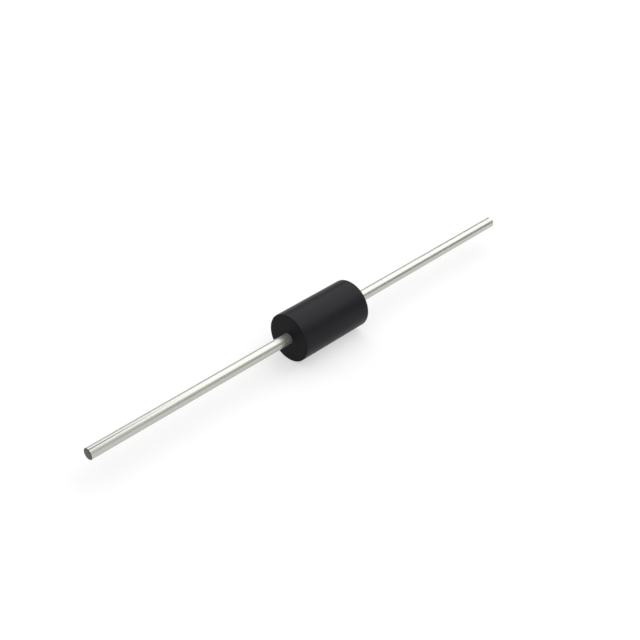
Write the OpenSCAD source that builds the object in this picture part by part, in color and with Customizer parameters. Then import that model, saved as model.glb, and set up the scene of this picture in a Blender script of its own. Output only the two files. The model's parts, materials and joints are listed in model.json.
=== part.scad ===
// Axial rectifier diode: a silicon die soldered between two nail-headed leads, coated and moulded in.
// The leads lie along X with the cathode lead towards +X. The origin is the centre of the case.

/* [Moulded case] */
// Outside diameter of the moulded case
case_d = 5.5; // [4.8:0.1:6.0]
// Length of the moulded case between its end faces
case_l = 9.5; // [8.0:0.1:11.0]
// Radius round the rim of each end face
case_edge_r = 0.12; // [0.05:0.01:0.30]

/* [Lead wire] */
// Diameter of the tinned copper wire
wire_d = 1.25; // [1.0:0.05:1.4]
// Length of lead that stands out of each end face
lead_l = 25.4; // [12.0:0.1:30.0]
// Chamfer round the cut end of each lead
tip_chamfer = 0.06; // [0.02:0.01:0.15]

/* [Nail head] */
// Diameter of the head upset on the inner end of each lead
head_d = 3.0; // [2.6:0.05:3.4]
// Thickness of the head
head_t = 0.5; // [0.40:0.05:0.80]
// Radius round both rims of the head
head_edge_r = 0.12; // [0.05:0.01:0.18]
// Radius of the fillet between the head and the wire
neck_r = 0.2; // [0.10:0.01:0.30]

/* [Grip grooves] */
// Number of ring grooves that key each lead into the moulding
groove_count = 5; // [3:1:8]
// Depth of each groove
groove_depth = 0.09; // [0.04:0.01:0.12]
// Plain wire between the neck fillet and the first groove
groove_gap = 0.3; // [0.10:0.05:0.50]
// Distance that the last groove stops inside the end face
groove_inset = 0.1; // [0.05:0.01:0.20]

/* [Silicon die] */
// Width of the square die at its cathode face
die_w = 2.1; // [1.6:0.05:2.4]
// Thickness of the die
die_t = 0.26; // [0.20:0.01:0.40]
// Bevel that narrows each side of the die towards its anode face
die_bevel = 0.1; // [0.02:0.01:0.20]

/* [Solder] */
// Thickness of the solder between the die and each head
solder_t = 0.06; // [0.03:0.01:0.12]
// Distance that the solder flares past the die where it meets the head
solder_flare = 0.05; // [0.02:0.01:0.10]

/* [Junction coating] */
// Distance that the coating bead bulges past the widest piece that it covers
coating_proud = 0.28; // [0.15:0.01:0.40]
// Distance that the bead laps over the rim of each head
coating_lap = 0.23; // [0.19:0.01:0.32]

/* [Hidden] */

$fn = 48;
small_fn = 16;

case_r = case_d / 2;
case_end = case_l / 2;
wire_r = wire_d / 2;
tip_end = case_end + lead_l;
head_r = head_d / 2;

// Distances from the middle of the die along a lead
die_face = die_t / 2;
head_face = die_face + solder_t;
head_middle = head_face + head_t / 2;
head_back = head_face + head_t;
neck_end = head_back + neck_r;
groove_start = neck_end + groove_gap;
groove_end = case_end - groove_inset;
groove_pitch = (groove_end - groove_start) / groove_count;

// The die narrows from its cathode face to its anode face
die_anode_w = die_w - 2 * die_bevel;
die_corner_r = die_w / sqrt(2);
solder_land_r = head_r - head_edge_r;

// The bead is an arc that starts on one head's rim, bulges over the die and ends on the other's
bead_half_l = head_face + coating_lap;
bead_sag = coating_proud + max(0, die_corner_r - head_r);
bead_arc_r = (bead_half_l * bead_half_l + bead_sag * bead_sag) / (2 * bead_sag);
bead_arc_centre = head_r + bead_sag - bead_arc_r;

// Stands a shape made along +Z on the cathode side, along +X
module cathode_side() {
    rotate([0, 90, 0]) children();
}

// The same on the anode side, along -X
module anode_side() {
    mirror([1, 0, 0]) cathode_side() children();
}

// Disc section with both of its outer corners rounded; x is the radius and y runs along the axis
module rounded_disc_section(radius, length, corner_r) {
    square([radius - corner_r, length]);
    translate([0, corner_r]) square([radius, length - 2 * corner_r]);
    translate([radius - corner_r, corner_r]) circle(r = corner_r, $fn = small_fn);
    translate([radius - corner_r, length - corner_r]) circle(r = corner_r, $fn = small_fn);
}

// Concave fillet between the back of the head and the wire
module neck_section() {
    translate([0, head_back]) difference() {
        square([wire_r + neck_r, neck_r]);
        translate([wire_r + neck_r, neck_r]) circle(r = neck_r, $fn = small_fn);
    }
}

// The wire from inside its head to the cut end, with the ring grooves pressed by the heading grip
function groove_points() = [
    for (i = [0 : groove_count - 1])
        each [
            [wire_r - groove_depth, groove_start + (i + 0.5) * groove_pitch],
            [wire_r, groove_start + (i + 1) * groove_pitch]
        ]
];

module wire_section() {
    polygon(concat(
        [[0, head_middle], [wire_r, head_middle], [wire_r, groove_start]],
        groove_points(),
        [[wire_r, tip_end - tip_chamfer], [wire_r - tip_chamfer, tip_end], [0, tip_end]]
    ));
}

module lead_section() {
    translate([0, head_face]) rounded_disc_section(head_r, head_t, head_edge_r);
    neck_section();
    wire_section();
}

// Everything that the coating fills between the heads and round their rims, die and solder included
module bead_section() {
    rim_l = head_face + head_edge_r;
    translate([0, -rim_l]) square([head_r, 2 * rim_l]);
    intersection() {
        translate([bead_arc_centre, 0]) circle(r = bead_arc_r, $fn = $fn);
        translate([head_r, -bead_half_l]) square([bead_sag, 2 * bead_half_l]);
    }
}

module case_section() {
    difference() {
        translate([0, -case_end]) rounded_disc_section(case_r, case_l, case_edge_r);
        lead_section();
        mirror([0, 1]) lead_section();
        bead_section();
    }
}

module lead() {
    rotate_extrude() lead_section();
}

// Block with a square section that goes from width w0 at z = 0 to width w1 at z = height
module square_taper(w0, w1, height) {
    reach = 2 * max(w0, w1);
    section = [[-w0 / 2, 0], [w0 / 2, 0], [w1 / 2, height], [-w1 / 2, height]];
    intersection() {
        rotate([90, 0, 0]) linear_extrude(height = reach, center = true) polygon(section);
        rotate([90, 0, 90]) linear_extrude(height = reach, center = true) polygon(section);
    }
}

// Solder layer from a die face of the given width out to its head, kept on the head's flat land
module solder(face_w) {
    intersection() {
        translate([0, 0, die_face]) square_taper(face_w, face_w + 2 * solder_flare, solder_t);
        cylinder(r = solder_land_r, h = head_middle);
    }
}

module moulded_case() {
    color("#242426") cathode_side() rotate_extrude() case_section();
}

module anode_lead() {
    color("#c9c9c4") anode_side() lead();
}

module cathode_lead() {
    color("#c9c9c4") cathode_side() lead();
}

module silicon_die() {
    color("#4a4f59") cathode_side()
        translate([0, 0, -die_face]) square_taper(die_anode_w, die_w, die_t);
}

module anode_solder() {
    color("#8e9094") anode_side() solder(die_anode_w);
}

module cathode_solder() {
    color("#8e9094") cathode_side() solder(die_w);
}

module junction_coating() {
    color("#e8e4d6") difference() {
        cathode_side() rotate_extrude() bead_section();
        anode_lead();
        cathode_lead();
        anode_solder();
        cathode_solder();
        silicon_die();
    }
}

moulded_case();
anode_lead();
cathode_lead();
silicon_die();
anode_solder();
cathode_solder();
junction_coating();
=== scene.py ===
"""Looks of an axial rectifier diode: moulded case, tinned leads and the soldered stack inside."""

import json
import logging
import math
from abc import ABC, abstractmethod
from dataclasses import dataclass
from enum import Enum
from typing import Iterable, Mapping, Optional, Sequence, Union

import bpy
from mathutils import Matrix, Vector


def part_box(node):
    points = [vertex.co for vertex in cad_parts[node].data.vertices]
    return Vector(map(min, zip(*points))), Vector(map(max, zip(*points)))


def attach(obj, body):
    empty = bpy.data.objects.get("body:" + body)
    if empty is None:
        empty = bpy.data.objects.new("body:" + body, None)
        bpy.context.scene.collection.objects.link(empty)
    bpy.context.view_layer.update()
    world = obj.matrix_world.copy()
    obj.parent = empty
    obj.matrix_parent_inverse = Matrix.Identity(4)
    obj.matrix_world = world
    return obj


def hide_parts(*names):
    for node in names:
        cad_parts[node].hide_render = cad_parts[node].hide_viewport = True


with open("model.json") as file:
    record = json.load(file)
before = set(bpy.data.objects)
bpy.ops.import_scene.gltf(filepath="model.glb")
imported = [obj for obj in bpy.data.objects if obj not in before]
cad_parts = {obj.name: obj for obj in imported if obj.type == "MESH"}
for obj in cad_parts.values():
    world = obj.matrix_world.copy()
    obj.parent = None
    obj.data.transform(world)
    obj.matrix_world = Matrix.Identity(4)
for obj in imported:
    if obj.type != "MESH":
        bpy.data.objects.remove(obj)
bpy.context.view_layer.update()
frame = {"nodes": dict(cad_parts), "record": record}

LOG = logging.getLogger("diode")

MM = 0.001
BODY = "root"
NOISE_MIDDLE = 0.5

Colour = tuple[float, float, float]
Stop = tuple[float, Colour]
Paint = Union[Colour, bpy.types.NodeSocket]


# ---------------------------------------------------------------------------------------------
# Node trees
# ---------------------------------------------------------------------------------------------


@dataclass(frozen=True, eq=False)
class Signal:
    """A number that flows through a node tree and can be used in Python expressions."""

    graph: "Graph"
    socket: bpy.types.NodeSocket

    def __add__(self, other: "Operand") -> "Signal":
        """Sum."""
        return self.graph.math("ADD", self, other)

    def __radd__(self, other: "Operand") -> "Signal":
        """Sum with a plain number on the left."""
        return self.graph.math("ADD", other, self)

    def __sub__(self, other: "Operand") -> "Signal":
        """Difference."""
        return self.graph.math("SUBTRACT", self, other)

    def __rsub__(self, other: "Operand") -> "Signal":
        """Difference from a plain number on the left."""
        return self.graph.math("SUBTRACT", other, self)

    def __mul__(self, other: "Operand") -> "Signal":
        """Product."""
        return self.graph.math("MULTIPLY", self, other)

    def __rmul__(self, other: "Operand") -> "Signal":
        """Product with a plain number on the left."""
        return self.graph.math("MULTIPLY", other, self)

    def __truediv__(self, other: "Operand") -> "Signal":
        """Quotient."""
        return self.graph.math("DIVIDE", self, other)

    def __rtruediv__(self, other: "Operand") -> "Signal":
        """Quotient of a plain number on the left."""
        return self.graph.math("DIVIDE", other, self)

    def __neg__(self) -> "Signal":
        """The number with its sign turned."""
        return self.graph.math("MULTIPLY", self, -1.0)


Operand = Union[Signal, float, int]
SocketValue = Union[Signal, bpy.types.NodeSocket, float, int, bool, str, Sequence[float], bpy.types.ID]


def grey(level: float) -> tuple[float, float, float, float]:
    """A grey with full alpha."""
    return level, level, level, 1.0


class Graph:
    """Builds the nodes of one tree."""

    def __init__(self, tree: bpy.types.NodeTree) -> None:
        """Starts on a tree.

        Args:
            tree: The shader or geometry node tree to fill.
        """
        self.tree = tree

    def node(
        self,
        kind: str,
        settings: Optional[Mapping[str, object]] = None,
        sockets: Optional[Mapping[Union[str, int], SocketValue]] = None,
    ) -> bpy.types.Node:
        """Makes any node.

        Args:
            kind: The node's type name.
            settings: Its properties, set first; "stops" gives a colour ramp's stops, and
                "captures" the kind and name of each attribute that a capture node keeps.
            sockets: The value of each input, or the output that is linked to it, by name or place.

        Returns:
            The new node.
        """
        made = self.tree.nodes.new(kind)
        for name, value in (settings or {}).items():
            if name == "stops":
                self._set_stops(made.color_ramp, value)
            elif name == "captures":
                for data_type, label in value:
                    made.capture_items.new(data_type, label)
            else:
                setattr(made, name, value)
        for key, value in (sockets or {}).items():
            self.feed(made.inputs[key], value)
        return made

    def feed(self, socket: bpy.types.NodeSocket, value: SocketValue) -> None:
        """Links or sets one input.

        Args:
            socket: The input.
            value: A signal or an output to link, or a plain value to set.
        """
        if isinstance(value, Signal):
            value = value.socket
        if isinstance(value, bpy.types.NodeSocket):
            self.tree.links.new(value, socket)
        else:
            socket.default_value = value

    @staticmethod
    def _set_stops(ramp: bpy.types.ColorRamp, stops: Iterable[Stop]) -> None:
        """Gives a colour ramp its stops.

        Args:
            ramp: The ramp, which has two elements when new.
            stops: Position and colour of each stop, from left to right.
        """
        wanted = list(stops)
        while len(ramp.elements) < len(wanted):
            ramp.elements.new(1.0)
        for element, (place, colour) in zip(ramp.elements, wanted):
            element.position = place
            element.color = (*colour, 1.0)

    def signal(self, node: bpy.types.Node, output: Union[str, int] = 0) -> Signal:
        """One output of a node as a signal.

        Args:
            node: The node.
            output: The output's name or place.

        Returns:
            The signal.
        """
        return Signal(self, node.outputs[output])

    def math(self, operation: str, *values: Operand, clamp: bool = False) -> Signal:
        """Adds one Math node.

        Args:
            operation: The node's operation.
            values: Its operands, in order.
            clamp: Whether the result is kept between 0 and 1.

        Returns:
            The node's result.
        """
        settings = {"operation": operation, "use_clamp": clamp}
        return self.signal(self.node("ShaderNodeMath", settings, dict(enumerate(values))))

    def sine(self, angle: Operand) -> Signal:
        """Sine of an angle in radians."""
        return self.math("SINE", angle)

    def cosine(self, angle: Operand) -> Signal:
        """Cosine of an angle in radians."""
        return self.math("COSINE", angle)

    def clamped(self, value: Operand) -> Signal:
        """A number kept between 0 and 1."""
        return self.math("ADD", value, 0.0, clamp=True)


# ---------------------------------------------------------------------------------------------
# Outlines of turned shapes
# ---------------------------------------------------------------------------------------------


class Stretch(ABC):
    """One stretch of the outline of a turned shape, as a step from where the last one ended."""

    rings: int

    @abstractmethod
    def step(self, graph: Graph, travel: Signal) -> tuple[Operand, Operand]:
        """How far the outline has gone.

        Args:
            graph: The tree's builder.
            travel: Share of the stretch gone through, from 0 to 1.

        Returns:
            The distance along the axis and the change of radius.
        """

    @abstractmethod
    def reversed(self) -> "Stretch":
        """The same stretch walked from its end to its start."""

    @abstractmethod
    def mirrored(self) -> "Stretch":
        """The same stretch with the axis turned the other way."""


@dataclass(frozen=True, eq=False)
class Straight(Stretch):
    """A straight stretch: its length along the axis, its change of radius and its rings of faces."""

    along: Operand
    outwards: Operand
    rings: int = 1

    def step(self, graph: Graph, travel: Signal) -> tuple[Operand, Operand]:
        """How far the outline has gone along the line."""
        return travel * self.along, travel * self.outwards

    def reversed(self) -> "Straight":
        """The same stretch walked from its end to its start."""
        return Straight(-self.along, -self.outwards, self.rings)

    def mirrored(self) -> "Straight":
        """The same stretch with the axis turned the other way."""
        return Straight(-self.along, self.outwards, self.rings)


@dataclass(frozen=True, eq=False)
class Bend(Stretch):
    """A stretch along an arc, with the angles of its ends about its centre, from the axis outwards."""

    radius: Operand
    start: Operand
    end: Operand
    rings: int

    def step(self, graph: Graph, travel: Signal) -> tuple[Operand, Operand]:
        """How far the outline has gone round the arc.

        Args:
            graph: The tree's builder.
            travel: Share of the stretch gone through, from 0 to 1.

        Returns:
            The distance along the axis and the change of radius.
        """
        angle = travel * (self.end - self.start) + self.start
        along = self.radius * (graph.cosine(angle) - graph.cosine(self.start))
        outwards = self.radius * (graph.sine(angle) - graph.sine(self.start))
        return along, outwards

    def reversed(self) -> "Bend":
        """The same stretch walked from its end to its start."""
        return Bend(self.radius, self.end, self.start, self.rings)

    def mirrored(self) -> "Bend":
        """The same stretch with the axis turned the other way."""
        return Bend(self.radius, math.pi - self.start, math.pi - self.end, self.rings)


@dataclass(frozen=True, eq=False)
class Grooves(Stretch):
    """A row of V grooves with sharp crests, two rings of faces to a groove."""

    along: Operand
    depth: Operand
    count: int

    @property
    def rings(self) -> int:
        """How many rings of faces the row is divided into."""
        return 2 * self.count

    def step(self, graph: Graph, travel: Signal) -> tuple[Operand, Operand]:
        """How far the outline has gone, and how deep it is in a groove."""
        sunk = graph.math("PINGPONG", travel * float(self.rings), 1.0)
        return travel * self.along, -(sunk * self.depth)

    def reversed(self) -> "Grooves":
        """The same stretch walked from its end to its start."""
        return Grooves(-self.along, self.depth, self.count)

    def mirrored(self) -> "Grooves":
        """The same stretch with the axis turned the other way."""
        return Grooves(-self.along, self.depth, self.count)


Outline = tuple[tuple[Operand, Operand], list[Stretch]]
Dressing = list[tuple[bpy.types.Material, Optional[Signal]]]


class TurnedShape(ABC):
    """A shape turned about the lead axis by a Geometry Nodes tree with named sizes."""

    SIZES: tuple[str, ...] = ()
    SEGMENTS = 128
    MERGE = 1e-6
    CREASE = math.radians(30)

    @abstractmethod
    def sizes(self) -> Mapping[str, float]:
        """The value of each named size, in metres."""

    @abstractmethod
    def outline(self, graph: Graph, size: Mapping[str, Signal]) -> Outline:
        """The outline that is turned.

        Args:
            graph: The tree's builder.
            size: The tree's named sizes.

        Returns:
            Its first point, as place along the axis and radius, and its stretches in order.
        """

    @abstractmethod
    def dressing(self, graph: Graph, ring: Signal, rings: int) -> Dressing:
        """The materials of the shape.

        Args:
            graph: The tree's builder.
            ring: The number of each face's ring, as a field.
            rings: How many rings of faces there are.

        Returns:
            Each material with the field that selects its faces, or None for all of them.
        """

    def tree(self, name: str) -> bpy.types.GeometryNodeTree:
        """Builds the shape's Geometry Nodes tree.

        Args:
            name: The tree's name.

        Returns:
            The tree, with one named input for each size and one for the way the axis points.
        """
        tree = bpy.data.node_groups.new(name, "GeometryNodeTree")
        for size in (*self.SIZES, "Way"):
            tree.interface.new_socket(size, in_out="INPUT", socket_type="NodeSocketFloat")
        tree.interface.new_socket("Shape", in_out="OUTPUT", socket_type="NodeSocketGeometry")
        graph = Graph(tree)
        given = graph.node("NodeGroupInput")
        size = {label: graph.signal(given, label) for label in self.SIZES}
        way = graph.signal(given, "Way")

        start, stretches = self.outline(graph, size)
        rings = sum(stretch.rings for stretch in stretches)

        position = graph.node("GeometryNodeInputPosition").outputs[0]
        place = graph.node("ShaderNodeSeparateXYZ", None, {0: position})
        ring = graph.signal(place, "X") + rings / 2
        turn = (graph.signal(place, "Y") / float(self.SEGMENTS) + 0.5) * math.tau
        axial, radius = self._walk(graph, start, stretches, ring)
        sheet = graph.node(
            "GeometryNodeMeshGrid",
            None,
            {
                "Size X": float(rings),
                "Size Y": float(self.SEGMENTS),
                "Vertices X": rings + 1,
                "Vertices Y": self.SEGMENTS + 1,
            },
        )
        numbered = graph.node(
            "GeometryNodeCaptureAttribute",
            {"domain": "FACE", "captures": [("FLOAT", "Ring")]},
            {"Geometry": sheet.outputs["Mesh"], "Ring": ring},
        )
        level = radius * graph.cosine(turn)
        up = -(way * radius * graph.sine(turn))
        point = graph.node("ShaderNodeCombineXYZ", None, {"X": way * axial, "Y": level, "Z": up})
        turned = graph.node(
            "GeometryNodeSetPosition",
            None,
            {"Geometry": numbered.outputs["Geometry"], "Position": point.outputs[0]},
        )
        closed = graph.node(
            "GeometryNodeMergeByDistance", None, {"Geometry": turned.outputs[0], "Distance": self.MERGE}
        )
        last = graph.node("GeometryNodeRealizeInstances", None, {"Geometry": self._shaded(graph, closed)})
        for material, chosen in self.dressing(graph, graph.signal(numbered, "Ring"), rings):
            faces = {} if chosen is None else {"Selection": chosen}
            sockets = {"Geometry": last.outputs[0], "Material": material, **faces}
            last = graph.node("GeometryNodeSetMaterial", None, sockets)
        graph.node("NodeGroupOutput", None, {0: last.outputs[0]})
        return tree

    @staticmethod
    def _walk(
        graph: Graph, start: tuple[Operand, Operand], stretches: Iterable[Stretch], ring: Signal
    ) -> tuple[Operand, Operand]:
        """Adds up the stretches of the outline.

        Args:
            graph: The tree's builder.
            start: The outline's first point.
            stretches: Its stretches in order.
            ring: The number of each point's ring, as a field.

        Returns:
            Each point's place along the axis and its radius.
        """
        axial, radius = start
        first = 0
        for stretch in stretches:
            travel = graph.clamped((ring - float(first)) / float(stretch.rings))
            along, outwards = stretch.step(graph, travel)
            axial = axial + along
            radius = radius + outwards
            first += stretch.rings
        return axial, radius

    def _shaded(self, graph: Graph, shape: bpy.types.Node) -> bpy.types.NodeSocket:
        """Shades the shape smoothly, apart from its sharp edges.

        Args:
            graph: The tree's builder.
            shape: The node that gives the shape.

        Returns:
            The output that carries the shaded shape.
        """
        smooth = graph.node(
            "GeometryNodeSetShadeSmooth",
            {"domain": "FACE"},
            {"Geometry": shape.outputs[0], "Shade Smooth": True},
        )
        angle = graph.signal(graph.node("GeometryNodeInputMeshEdgeAngle"), "Unsigned Angle")
        gentle = graph.node(
            "FunctionNodeCompare",
            {"data_type": "FLOAT", "operation": "LESS_THAN"},
            {"A": angle, "B": self.CREASE},
        )
        creased = graph.node(
            "GeometryNodeSetShadeSmooth",
            {"domain": "EDGE"},
            {"Geometry": smooth.outputs[0], "Shade Smooth": gentle.outputs[0]},
        )
        return creased.outputs[0]

    def turned(self, name: str, way: float) -> bpy.types.Object:
        """Makes the shape a plain mesh object.

        Args:
            name: The piece's name.
            way: 1 where the outline runs towards +X, and -1 where it runs towards -X.

        Returns:
            The object, at the origin, with its place in its mesh.
        """
        tree = self.tree(f"{name}_outline")
        carrier = bpy.data.objects.new(f"{name}_carrier", bpy.data.meshes.new(f"{name}_carrier"))
        bpy.context.scene.collection.objects.link(carrier)
        modifier = carrier.modifiers.new("turned", "NODES")
        modifier.node_group = tree
        values = {**self.sizes(), "Way": way}
        for item in tree.interface.items_tree:
            if item.in_out == "INPUT":
                modifier[item.identifier] = float(values[item.name])
        bpy.context.view_layer.update()
        evaluated = carrier.evaluated_get(bpy.context.evaluated_depsgraph_get())
        mesh = bpy.data.meshes.new_from_object(evaluated)
        mesh.name = name
        self._drop_empty_slots(mesh)
        piece = bpy.data.objects.new(name, mesh)
        bpy.context.scene.collection.objects.link(piece)
        carrier.modifiers.clear()
        bpy.data.objects.remove(carrier)
        return piece

    @staticmethod
    def _drop_empty_slots(mesh: bpy.types.Mesh) -> None:
        """Takes out the material slots that hold nothing."""
        for place in reversed(range(len(mesh.materials))):
            if mesh.materials[place] is None:
                mesh.materials.pop(index=place)


# ---------------------------------------------------------------------------------------------
# Finishes
# ---------------------------------------------------------------------------------------------


@dataclass(frozen=True)
class Pattern:
    """A noise in a finish.

    Its grains have a size in metres and are stretched so many times along X, Y and Z. It swings
    the roughness by its swing, and its detail and fineness are how many finer octaves it has and
    how strong they are.
    """

    grain: float
    swing: float
    detail: float = 2.0
    fineness: float = 0.5
    stretch: tuple[float, float, float] = (1.0, 1.0, 1.0)


class Surface:
    """The start of a procedural material on a piece's own coordinates."""

    def __init__(self, name: str) -> None:
        """Starts a material with only a Principled shader in it.

        Args:
            name: The material's name.
        """
        self.material = bpy.data.materials.new(name)
        self.material.use_nodes = True
        tree = self.material.node_tree
        tree.nodes.clear()
        self.graph = Graph(tree)
        self.shader = self.graph.node("ShaderNodeBsdfPrincipled")
        self.graph.node("ShaderNodeOutputMaterial", None, {"Surface": self.shader.outputs[0]})
        self.place = self.graph.node("ShaderNodeTexCoord").outputs["Object"]

    def axes(self) -> tuple[Signal, Signal, Signal]:
        """Each point's own X, Y and Z."""
        split = self.graph.node("ShaderNodeSeparateXYZ", None, {0: self.place})
        return self.graph.signal(split, "X"), self.graph.signal(split, "Y"), self.graph.signal(split, "Z")

    def set(self, **values: SocketValue) -> None:
        """Sets or links inputs of the shader.

        Args:
            values: Each input's value, named as the socket with an underscore for each space.
        """
        for name, value in values.items():
            self.graph.feed(self.shader.inputs[name.replace("_", " ")], value)

    def noise(self, pattern: Pattern) -> Signal:
        """Noise on the piece's own coordinates.

        Args:
            pattern: Its grains.

        Returns:
            The noise, from 0 to 1.
        """
        scale = tuple(1.0 / (pattern.grain * along) for along in pattern.stretch)
        mapped = self.graph.node("ShaderNodeMapping", None, {"Vector": self.place, "Scale": scale})
        sockets = {
            "Vector": mapped.outputs[0],
            "Scale": 1.0,
            "Detail": pattern.detail,
            "Roughness": pattern.fineness,
        }
        return self.graph.signal(self.graph.node("ShaderNodeTexNoise", None, sockets))

    @staticmethod
    def swing(noise: Signal, pattern: Pattern) -> Signal:
        """What a noise adds to the roughness."""
        return (noise - NOISE_MIDDLE) * pattern.swing

    def blend(self, share: Operand, low: Paint, high: Paint) -> bpy.types.NodeSocket:
        """A colour between two.

        Args:
            share: How much of the second colour there is, from 0 to 1.
            low: The first colour, or the output that carries it.
            high: The second colour, or the output that carries it.

        Returns:
            The output that carries the colour.
        """
        sockets = {"Factor": share, "A": self._opaque(low), "B": self._opaque(high)}
        return self.graph.node("ShaderNodeMix", {"data_type": "RGBA"}, sockets).outputs["Result"]

    @staticmethod
    def _opaque(paint: Paint) -> SocketValue:
        """A colour with full alpha, or an output as it is."""
        return paint if isinstance(paint, bpy.types.NodeSocket) else (*paint, 1.0)

    def relief(self, height: Signal, depth: float) -> None:
        """Raises and sinks the surface a little.

        Args:
            height: The relief, from 0 to 1.
            depth: The distance from 0 to 1, in metres.
        """
        sockets = {"Height": height, "Distance": depth, "Strength": 1.0}
        self.set(Normal=self.graph.node("ShaderNodeBump", None, sockets).outputs[0])


class Finish(ABC):
    """A finish that a piece can be given."""

    NAME = ""

    @abstractmethod
    def paint(self, surface: Surface) -> None:
        """Sets the shader's inputs.

        Args:
            surface: The material that is being built.
        """

    def material(self) -> bpy.types.Material:
        """Builds the finish as a procedural material.

        Returns:
            The material.
        """
        surface = Surface(self.NAME)
        self.paint(surface)
        return surface.material


@dataclass(frozen=True)
class MouldedEpoxy(Finish):
    """Black filled epoxy as it leaves the mould: a satin wall between matt end faces."""

    NAME = "moulded_epoxy"

    case_r: float
    wall_fade: float = 0.06 * MM
    wall_coat: float = 0.13
    coat_roughness: float = 0.30
    dark: Colour = (0.0178, 0.0178, 0.0206)
    light: Colour = (0.0235, 0.0235, 0.0270)
    roughness: float = 0.40
    gloss: float = 0.04
    grain: Pattern = Pattern(0.06 * MM, swing=0.08, detail=3.0, fineness=0.6)
    grain_share: float = 0.4
    cloud: Pattern = Pattern(1.2 * MM, swing=0.10)
    depth: float = 0.002 * MM

    def paint(self, surface: Surface) -> None:
        """Sets the shader's inputs.

        Args:
            surface: The material that is being built.
        """
        grain = surface.noise(self.grain)
        cloud = surface.noise(self.cloud)
        mixed = grain * self.grain_share + cloud * (1.0 - self.grain_share)
        swing = surface.swing(cloud, self.cloud) + surface.swing(grain, self.grain)
        surface.set(
            Base_Color=surface.blend(mixed, self.dark, self.light),
            Roughness=swing + self.roughness,
            Specular_IOR_Level=self.gloss,
            Coat_Weight=self._wall(surface) * self.wall_coat,
            Coat_Roughness=self.coat_roughness,
        )
        surface.relief(grain, self.depth)

    def _wall(self, surface: Surface) -> Signal:
        """Where the case's round wall is.

        Args:
            surface: The material that is being built.

        Returns:
            1 on the wall and 0 on the end faces and in the cavity.
        """
        _, level, up = surface.axes()
        radius = surface.graph.math("SQRT", level * level + up * up)
        return surface.graph.clamped((radius - self.case_r) / self.wall_fade + 1.0)


@dataclass(frozen=True)
class PaintedReflectionStreak:
    """A painted dark reflection streak along the anode lead, which fades away from its start at the cut
    end; it is painted shade in the tin's colour, not a real mark.
    """

    start: float
    angle: float = math.radians(17.0)
    half_width: float = math.radians(8.0)
    length: float = 12.0 * MM
    soft: float = 0.5

    def mask(self, surface: Surface) -> Signal:
        """Where the painted reflection streak is.

        Args:
            surface: The material that is being built.

        Returns:
            The painted streak's strength, from 0 to 1.
        """
        along, level, up = surface.axes()
        graph = surface.graph
        off = graph.math("ABSOLUTE", graph.math("ARCTAN2", -level, up) - self.angle)
        across = graph.clamped((1.0 - off / self.half_width) / self.soft)
        left = graph.clamped((self.start + self.length - along) / self.length)
        return across * left


@dataclass(frozen=True)
class TinnedWire(Finish):
    """Tin plating over drawn copper wire, with faint marks along the wire and a painted dark reflection
    streak along the anode lead.
    """

    NAME = "tin_plating"

    painted_streak: PaintedReflectionStreak
    dark: Colour = (0.55, 0.55, 0.512)
    light: Colour = (0.63, 0.63, 0.586)
    # Colour of the painted dark reflection streak: painted shade, not wear.
    painted_streak_colour: Colour = (0.14, 0.14, 0.13)
    metal: float = 0.65
    roughness: float = 0.26
    lines: Pattern = Pattern(0.05 * MM, swing=0.05, stretch=(160.0, 1.0, 1.0))
    line_share: float = 0.5
    cloud: Pattern = Pattern(0.8 * MM, swing=0.08, detail=3.0, stretch=(3.0, 1.0, 1.0))
    painted_streak_roughness_rise: float = 0.1
    depth: float = 0.0003 * MM

    def paint(self, surface: Surface) -> None:
        """Sets the shader's inputs.

        Args:
            surface: The material that is being built.
        """
        lines = surface.noise(self.lines)
        cloud = surface.noise(self.cloud)
        painted_streak_share = self.painted_streak.mask(surface)
        mixed = lines * self.line_share + cloud * (1.0 - self.line_share)
        plain = surface.blend(mixed, self.dark, self.light)
        swing = surface.swing(cloud, self.cloud) + surface.swing(lines, self.lines)
        surface.set(
            # Blends in the painted dark reflection streak near the anode lead's cut end.
            Base_Color=surface.blend(painted_streak_share, plain, self.painted_streak_colour),
            Metallic=self.metal,
            Roughness=swing + painted_streak_share * self.painted_streak_roughness_rise + self.roughness,
        )
        surface.relief(lines, self.depth)


@dataclass(frozen=True)
class ShearedEnd(Finish):
    """The cut end of a lead: dull metal with the marks of the shear across it, its colour darkened
    further as painted shade for an end face turned from the light.
    """

    NAME = "sheared_end"

    # Very dark metal: partly the dull sheared end, partly painted shade for a face turned from the light.
    dark: Colour = (0.07, 0.07, 0.065)
    light: Colour = (0.14, 0.14, 0.13)
    roughness: float = 0.5
    marks: Pattern = Pattern(0.03 * MM, swing=0.2, detail=3.0, stretch=(1.0, 12.0, 1.0))
    depth: float = 0.004 * MM

    def paint(self, surface: Surface) -> None:
        """Sets the shader's inputs.

        Args:
            surface: The material that is being built.
        """
        marks = surface.noise(self.marks)
        surface.set(
            Base_Color=surface.blend(marks, self.dark, self.light),
            Metallic=1.0,
            Roughness=surface.swing(marks, self.marks) + self.roughness,
        )
        surface.relief(marks, self.depth)


@dataclass(frozen=True)
class SawnSilicon(Finish):
    """A silicon die with lapped faces and etched edges."""

    NAME = "lapped_silicon"

    dark: Colour = (0.055, 0.060, 0.075)
    light: Colour = (0.10, 0.11, 0.13)
    metal: float = 0.6
    roughness: float = 0.3
    grain: Pattern = Pattern(0.02 * MM, swing=0.2, detail=4.0)
    depth: float = 0.001 * MM

    def paint(self, surface: Surface) -> None:
        """Sets the shader's inputs.

        Args:
            surface: The material that is being built.
        """
        grain = surface.noise(self.grain)
        surface.set(
            Base_Color=surface.blend(grain, self.dark, self.light),
            Metallic=self.metal,
            Roughness=surface.swing(grain, self.grain) + self.roughness,
        )
        surface.relief(grain, self.depth)


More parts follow.
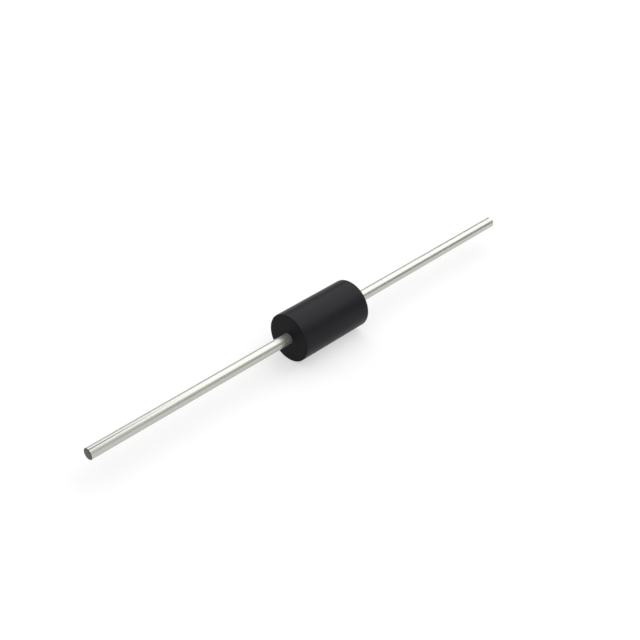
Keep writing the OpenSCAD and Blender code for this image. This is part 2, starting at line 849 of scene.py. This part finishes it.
@dataclass(frozen=True)
class SolderJoint(Finish):
    """High-lead solder, frosty where it froze."""

    NAME = "frosted_solder"

    dark: Colour = (0.27, 0.275, 0.28)
    light: Colour = (0.40, 0.405, 0.41)
    roughness: float = 0.42
    grain: Pattern = Pattern(0.05 * MM, swing=0.3, detail=4.0, fineness=0.65)
    depth: float = 0.003 * MM

    def paint(self, surface: Surface) -> None:
        """Sets the shader's inputs.

        Args:
            surface: The material that is being built.
        """
        grain = surface.noise(self.grain)
        surface.set(
            Base_Color=surface.blend(grain, self.dark, self.light),
            Metallic=1.0,
            Roughness=surface.swing(grain, self.grain) + self.roughness,
        )
        surface.relief(grain, self.depth)


@dataclass(frozen=True)
class SiliconeBead(Finish):
    """Cured silicone junction coating, milky and slightly glossy."""

    NAME = "cured_silicone"

    dark: Colour = (0.70, 0.66, 0.56)
    light: Colour = (0.80, 0.77, 0.68)
    roughness: float = 0.38
    coat: float = 0.2
    cloud: Pattern = Pattern(0.3 * MM, swing=0.15, detail=3.0)
    depth: float = 0.004 * MM

    def paint(self, surface: Surface) -> None:
        """Sets the shader's inputs.

        Args:
            surface: The material that is being built.
        """
        cloud = surface.noise(self.cloud)
        surface.set(
            Base_Color=surface.blend(cloud, self.dark, self.light),
            Roughness=surface.swing(cloud, self.cloud) + self.roughness,
            Coat_Weight=self.coat,
        )
        surface.relief(cloud, self.depth)


# ---------------------------------------------------------------------------------------------
# Sub-assemblies
# ---------------------------------------------------------------------------------------------


class Side(Enum):
    """Which end of the diode a lead is on, with the way that it points along X."""

    ANODE = -1.0
    CATHODE = 1.0

    @property
    def node(self) -> str:
        """The name of the lead's CAD node."""
        return f"{self.name.lower()}_lead"


@dataclass
class LeadInside:
    """The sizes of a lead inside the case, which the case's cavity takes too."""

    head_face: float
    head_r: float
    wire_r: float
    head_t: float = 0.5 * MM
    head_edge_r: float = 0.12 * MM
    neck_r: float = 0.2 * MM
    groove_gap: float = 0.3 * MM
    groove_inset: float = 0.1 * MM
    groove_depth: float = 0.09 * MM
    groove_count: int = 5
    corner_rings: int = 6
    back_rings: int = 4

    NAMES = (
        "Head face",
        "Head radius",
        "Wire radius",
        "Head thickness",
        "Head edge radius",
        "Neck radius",
        "Groove gap",
        "Groove depth",
        "Groove end",
    )

    def named(self, case_end: float) -> dict[str, float]:
        """The sizes by their names in a tree.

        Args:
            case_end: The place of the case's end face along the lead.

        Returns:
            Each name with its size.
        """
        values = (
            self.head_face,
            self.head_r,
            self.wire_r,
            self.head_t,
            self.head_edge_r,
            self.neck_r,
            self.groove_gap,
            self.groove_depth,
            case_end - self.groove_inset,
        )
        return dict(zip(self.NAMES, values))

    def rim_to_grooves(self, size: Mapping[str, Signal]) -> list[Stretch]:
        """The outline from the middle of the head's rim to the last groove.

        Args:
            size: The tree's named sizes.

        Returns:
            The stretches, walked away from the head.
        """
        half_rim = size["Head thickness"] / 2 - size["Head edge radius"]
        neck = size["Neck radius"]
        back_face = size["Head radius"] - size["Head edge radius"] - size["Wire radius"] - neck
        groove_start = size["Head face"] + size["Head thickness"] + neck + size["Groove gap"]
        return [
            Straight(half_rim, 0.0),
            Bend(size["Head edge radius"], math.pi / 2, 0.0, self.corner_rings),
            Straight(0.0, -back_face, self.back_rings),
            Bend(neck, math.pi, math.pi * 1.5, self.corner_rings),
            Straight(size["Groove gap"], 0.0),
            Grooves(size["Groove end"] - groove_start, size["Groove depth"], self.groove_count),
        ]


@dataclass
class WireLead(TurnedShape):
    """A tinned lead: nail head, neck, grip grooves and straight wire to its cut end."""

    side: Side
    inside: LeadInside
    case_end: float
    tip_end: float
    tin: bpy.types.Material
    cut: bpy.types.Material
    tip_chamfer: float = 0.06 * MM
    head_rings: int = 8
    wire_rings: int = 60
    chamfer_rings: int = 2
    cut_rings: int = 6

    SIZES = (*LeadInside.NAMES, "Tip end", "Tip chamfer")
    SEGMENTS = 96

    def sizes(self) -> Mapping[str, float]:
        """The value of each named size, in metres."""
        return {
            **self.inside.named(self.case_end),
            "Tip end": self.tip_end,
            "Tip chamfer": self.tip_chamfer,
        }

    def outline(self, graph: Graph, size: Mapping[str, Signal]) -> Outline:
        """The lead's outline.

        Args:
            graph: The tree's builder.
            size: The tree's named sizes.

        Returns:
            The middle of the head's face, and the stretches to the middle of the cut end.
        """
        edge = size["Head edge radius"]
        half_rim = size["Head thickness"] / 2 - edge
        wire = size["Tip end"] - size["Tip chamfer"] - size["Groove end"]
        stretches = [
            Straight(0.0, size["Head radius"] - edge, self.head_rings),
            Bend(edge, math.pi, math.pi / 2, self.inside.corner_rings),
            Straight(half_rim, 0.0),
            *self.inside.rim_to_grooves(size),
            Straight(wire, 0.0, self.wire_rings),
            Straight(size["Tip chamfer"], -size["Tip chamfer"], self.chamfer_rings),
            Straight(0.0, size["Tip chamfer"] - size["Wire radius"], self.cut_rings),
        ]
        return (size["Head face"], 0.0), stretches

    def dressing(self, graph: Graph, ring: Signal, rings: int) -> Dressing:
        """Tin all over, and bare sheared metal, darkened as painted shade, on the cut end and its
        chamfer.

        Args:
            graph: The tree's builder.
            ring: The number of each face's ring, as a field.
            rings: How many rings of faces there are.

        Returns:
            Each material with the field that selects its faces, or None for all of them.
        """
        end = graph.node(
            "FunctionNodeCompare",
            {"data_type": "FLOAT", "operation": "GREATER_THAN"},
            {"A": ring, "B": float(rings - self.cut_rings - self.chamfer_rings)},
        )
        return [(self.tin, None), (self.cut, graph.signal(end))]

    def build(self) -> bpy.types.Object:
        """Makes the lead and puts it in the place of its CAD node.

        Returns:
            The lead.
        """
        piece = self.turned(f"{self.side.name.lower()}_wire", self.side.value)
        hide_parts(self.side.node)
        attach(piece, BODY)
        return piece


@dataclass
class MouldedCase(TurnedShape):
    """The moulded case, with the cavity that takes the heads, the grooves and the coating bead."""

    case_r: float
    case_end: float
    inside: LeadInside
    bead_half: float
    bead_r: float
    epoxy: bpy.types.Material
    edge_r: float = 0.12 * MM
    wall_rings: int = 24
    face_rings: int = 10
    edge_rings: int = 8
    bead_rings: int = 16

    SIZES = (
        *LeadInside.NAMES,
        "Case radius",
        "Case end",
        "Edge radius",
        "Bead half length",
        "Bead radius",
    )
    SEGMENTS = 192

    def sizes(self) -> Mapping[str, float]:
        """The value of each named size, in metres."""
        return {
            **self.inside.named(self.case_end),
            "Case radius": self.case_r,
            "Case end": self.case_end,
            "Edge radius": self.edge_r,
            "Bead half length": self.bead_half,
            "Bead radius": self.bead_r,
        }

    def outline(self, graph: Graph, size: Mapping[str, Signal]) -> Outline:
        """The case's outline.

        Args:
            graph: The tree's builder.
            size: The tree's named sizes.

        Returns:
            The rim of the -X opening, and the stretches over the outside to +X and back through
            the cavity.
        """
        edge = size["Edge radius"]
        face = size["Case radius"] - edge - size["Wire radius"]
        wall = (size["Case end"] - edge) * 2
        half = size["Bead half length"]
        sag = size["Bead radius"] - size["Head radius"]
        arc_r = (half * half + sag * sag) / (sag * 2)
        spread = graph.math("ARCSINE", half / arc_r)
        # The head's rim runs on a little from its middle before the bead bulges out
        rim_middle = size["Head face"] + size["Head thickness"] / 2
        bore = [
            Straight(rim_middle - half, 0.0),
            *self.inside.rim_to_grooves(size),
            Straight(size["Case end"] - size["Groove end"], 0.0),
        ]
        stretches = [
            Straight(0.0, face, self.face_rings),
            Bend(edge, math.pi, math.pi / 2, self.edge_rings),
            Straight(wall, 0.0, self.wall_rings),
            Bend(edge, math.pi / 2, 0.0, self.edge_rings),
            Straight(0.0, -face, self.face_rings),
            *[stretch.reversed() for stretch in reversed(bore)],
            Bend(arc_r, math.pi / 2 - spread, math.pi / 2 + spread, self.bead_rings),
            *[stretch.mirrored() for stretch in bore],
        ]
        return (-size["Case end"], size["Wire radius"]), stretches

    def dressing(self, graph: Graph, ring: Signal, rings: int) -> Dressing:
        """Epoxy all over."""
        return [(self.epoxy, None)]

    def build(self) -> bpy.types.Object:
        """Makes the case and puts it in the place of its CAD node.

        Returns:
            The case.
        """
        piece = self.turned("epoxy_case", 1.0)
        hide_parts("moulded_case")
        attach(piece, BODY)
        return piece


@dataclass
class JunctionStack:
    """The die, its two solder layers and the coating bead, whose CAD shapes stay as they are."""

    silicon: bpy.types.Material
    solder: bpy.types.Material
    silicone: bpy.types.Material

    def build(self, nodes: Mapping[str, bpy.types.Object]) -> list[bpy.types.Object]:
        """Dresses the sealed pieces.

        Args:
            nodes: The CAD nodes by name.

        Returns:
            The pieces that were dressed.
        """
        finishes = {
            "silicon_die": self.silicon,
            "anode_solder": self.solder,
            "cathode_solder": self.solder,
            "junction_coating": self.silicone,
        }
        dressed = []
        for name, material in finishes.items():
            piece = nodes[name]
            piece.data.materials.clear()
            piece.data.materials.append(material)
            dressed.append(piece)
        return dressed


# ---------------------------------------------------------------------------------------------
# Studio
# ---------------------------------------------------------------------------------------------


@dataclass(frozen=True)
class SoftLight:
    """A soft box: a flat lamp that looks at the diode, with its length level and its width sloping."""

    name: str
    towards: tuple[float, float, float]
    distance: float
    length: float
    width: float
    radiance: float

    def build(self) -> bpy.types.Object:
        """Hangs the lamp.

        Returns:
            The lamp.
        """
        data = bpy.data.lights.new(self.name, "AREA")
        data.shape = "RECTANGLE"
        data.size = self.length
        data.size_y = self.width
        data.energy = self.radiance * math.pi * self.length * self.width
        lamp = bpy.data.objects.new(self.name, data)
        direction = Vector(self.towards).normalized()
        lamp.location = direction * self.distance
        lamp.rotation_mode = "QUATERNION"
        lamp.rotation_quaternion = direction.to_track_quat("Z", "Y")
        bpy.context.scene.collection.objects.link(lamp)
        return lamp


@dataclass(frozen=True)
class SkyBand:
    """One stop of the sky: how bright it is at a height above the horizon."""

    elevation: float
    radiance: float

    def stop(self) -> Stop:
        """The stop of a colour ramp over the sine of the elevation."""
        return math.sin(math.radians(self.elevation)), (self.radiance,) * 3


@dataclass(frozen=True)
class DarkFlag:
    """A dark cloth hung on the walls about +X, which gives the leads their darker band."""

    edge: float = 0.40
    fade: float = 0.35
    depth: float = 0.8
    foot: float = 8.0
    top: float = 0.6
    top_fade: float = 0.2

    def mask(self, graph: Graph, ahead: Signal, height: Signal) -> Signal:
        """How much of the light the cloth takes away.

        Args:
            graph: The sky's builder.
            ahead: The direction's part along +X.
            height: The direction's part upwards.

        Returns:
            The share that is taken, from 0 to 1.
        """
        across = graph.clamped((ahead - self.edge) / self.fade)
        above_floor = graph.clamped(height * self.foot)
        below_top = graph.clamped((self.top - height) / self.top_fade)
        return across * above_floor * below_top * self.depth


@dataclass(frozen=True)
class WhiteCard:
    """White card on the walls beside the diode, towards -Y and +Y."""

    radiance: float = 1.0
    edge: float = 0.45
    fade: float = 0.20
    top: float = 0.54
    top_fade: float = 0.20

    def mask(self, graph: Graph, ahead: Signal, height: Signal) -> Signal:
        """Where the card is.

        Args:
            graph: The sky's builder.
            ahead: The direction's part along +X.
            height: The direction's part upwards.

        Returns:
            1 on the card and 0 off it.
        """
        across = graph.clamped((self.edge - graph.math("ABSOLUTE", ahead)) / self.fade)
        return across * graph.clamped((self.top - height) / self.top_fade)


@dataclass
class Studio:
    """A pale floor under a soft ceiling, with greyer walls between them, and soft boxes."""

    floor_z: float
    lights: tuple[SoftLight, ...]
    flag: DarkFlag = DarkFlag()
    card: WhiteCard = WhiteCard()
    floor_half: float = 3.0
    floor_albedo: float = 0.5
    floor_lift: float = 0.56
    lean: float = 0.5
    lean_rise: float = 6.0
    sky: tuple[SkyBand, ...] = (
        SkyBand(0.0, 0.95),
        SkyBand(2.5, 0.95),
        SkyBand(8.0, 0.28),
        SkyBand(21.0, 0.32),
        SkyBand(34.0, 0.74),
        SkyBand(90.0, 0.86),
    )

    def build(self) -> None:
        """Sets up the floor, the sky, the lamps and the view transform."""
        bpy.context.scene.view_settings.view_transform = "Standard"
        self._floor()
        self._sky()
        for light in self.lights:
            light.build()

    def _floor(self) -> None:
        """Lays the floor."""
        half = self.floor_half
        mesh = bpy.data.meshes.new("floor")
        corners = [(-half, -half), (half, -half), (half, half), (-half, half)]
        mesh.from_pydata([(x, y, self.floor_z) for x, y in corners], [], [(0, 1, 2, 3)])
        floor = bpy.data.objects.new("floor", mesh)
        bpy.context.scene.collection.objects.link(floor)
        mesh.materials.append(self._floor_material())

    def _floor_material(self) -> bpy.types.Material:
        """White to the eye and in reflections, with the diode's shadow kept.

        Returns:
            The floor's material.
        """
        material = bpy.data.materials.new("floor")
        material.use_nodes = True
        tree = material.node_tree
        tree.nodes.clear()
        graph = Graph(tree)
        path = graph.node("ShaderNodeLightPath")
        seen = graph.signal(path, "Is Camera Ray")
        for kind in ("Is Glossy Ray", "Is Transmission Ray"):
            seen = graph.math("MAXIMUM", seen, graph.signal(path, kind))
        paint = graph.node("ShaderNodeBsdfDiffuse", None, {"Color": grey(self.floor_albedo)})
        lift = graph.node("ShaderNodeEmission", None, {"Strength": seen * self.floor_lift})
        both = graph.node("ShaderNodeAddShader", None, {0: paint.outputs[0], 1: lift.outputs[0]})
        graph.node("ShaderNodeOutputMaterial", None, {"Surface": both.outputs[0]})
        return material

    def _sky(self) -> None:
        """Lights the room: white at floor level, grey and white walls, and a soft ceiling."""
        world = bpy.data.worlds.new("studio")
        bpy.context.scene.world = world
        world.use_nodes = True
        tree = world.node_tree
        tree.nodes.clear()
        graph = Graph(tree)
        direction = graph.node("ShaderNodeTexCoord").outputs["Generated"]
        towards = graph.node("ShaderNodeSeparateXYZ", None, {0: direction})
        ahead, height = graph.signal(towards, "X"), graph.signal(towards, "Z")
        stops = [band.stop() for band in self.sky]
        bands = graph.node("ShaderNodeValToRGB", {"stops": stops}, {"Fac": height})
        lean = ahead * graph.clamped(height * self.lean_rise) * self.lean
        room = graph.node(
            "ShaderNodeMix",
            {"data_type": "RGBA"},
            {
                "Factor": self.card.mask(graph, ahead, height),
                "A": bands.outputs["Color"],
                "B": grey(self.card.radiance),
            },
        )
        strength = (lean + 1.0) * (1.0 - self.flag.mask(graph, ahead, height))
        sockets = {"Color": room.outputs["Result"], "Strength": strength}
        background = graph.node("ShaderNodeBackground", None, sockets)
        graph.node("ShaderNodeOutputWorld", None, {"Surface": background.outputs[0]})


@dataclass(frozen=True)
class Viewpoint:
    """The camera: where it stands round the diode, how far off, and how wide it sees."""

    azimuth: float = -45.6
    elevation: float = 34.46
    distance: float = 113.3 * MM
    view_angle: float = 33.80
    clip_ratio: float = 100.0

    def build(self) -> bpy.types.Object:
        """Sets up the camera.

        Returns:
            The camera.
        """
        turn, rise = math.radians(self.azimuth), math.radians(self.elevation)
        back = Vector((math.sin(turn) * math.cos(rise), -math.cos(turn) * math.cos(rise), math.sin(rise)))
        data = bpy.data.cameras.new("camera")
        data.angle = math.radians(self.view_angle)
        data.clip_start = self.distance / self.clip_ratio
        data.clip_end = self.distance * self.clip_ratio
        camera = bpy.data.objects.new("camera", data)
        camera.rotation_mode = "QUATERNION"
        camera.rotation_quaternion = back.to_track_quat("Z", "Y")
        camera.location = back * self.distance
        bpy.context.scene.collection.objects.link(camera)
        bpy.context.scene.camera = camera
        return camera


def reach(node: str) -> float:
    """How far a CAD node reaches from the lead axis, in metres."""
    return max(abs(value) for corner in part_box(node) for value in corner[1:])


def triangles(piece: bpy.types.Object) -> int:
    """How many triangles a piece has."""
    piece.data.calc_loop_triangles()
    return len(piece.data.loop_triangles)


def main() -> None:
    """Builds the diode's looks round its CAD nodes."""
    logging.basicConfig(level=logging.INFO, format="%(name)s: %(message)s")
    mounts = {mount["name"]: mount for mount in frame["record"]["mounts"]}
    wire_r = mounts["cathode_wire"]["dims"]["r_mm"] * MM
    case_end, case_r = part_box("moulded_case")[1].x, reach("moulded_case")
    lead_low, lead_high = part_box("cathode_lead")
    bead_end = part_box("junction_coating")[1].x
    inside = LeadInside(head_face=lead_low.x, head_r=reach("cathode_lead"), wire_r=wire_r)

    Viewpoint().build()
    Studio(
        floor_z=-case_r,
        lights=(
            SoftLight(
                "overhead_box",
                towards=(0.60, 0.12, 0.78),
                distance=0.6,
                length=0.9,
                width=0.5,
                radiance=1.15,
            ),
        ),
    ).build()

    # The tin carries a painted dark reflection streak on the anode lead.
    tin = TinnedWire(PaintedReflectionStreak(start=-lead_high.x)).material()
    # The cut ends' colour carries painted shade.
    cut = ShearedEnd().material()
    for side in Side:
        lead = WireLead(side, inside, case_end, lead_high.x, tin, cut).build()
        LOG.info("%s: %d triangles", lead.name, triangles(lead))
    epoxy = MouldedEpoxy(case_r).material()
    case = MouldedCase(case_r, case_end, inside, bead_end, reach("junction_coating"), epoxy).build()
    LOG.info("%s: %d triangles", case.name, triangles(case))
    stack = JunctionStack(SawnSilicon().material(), SolderJoint().material(), SiliconeBead().material())
    for piece in stack.build(frame["nodes"]):
        LOG.info("%s: CAD shape dressed", piece.name)


if __name__ == "__main__":
    main()
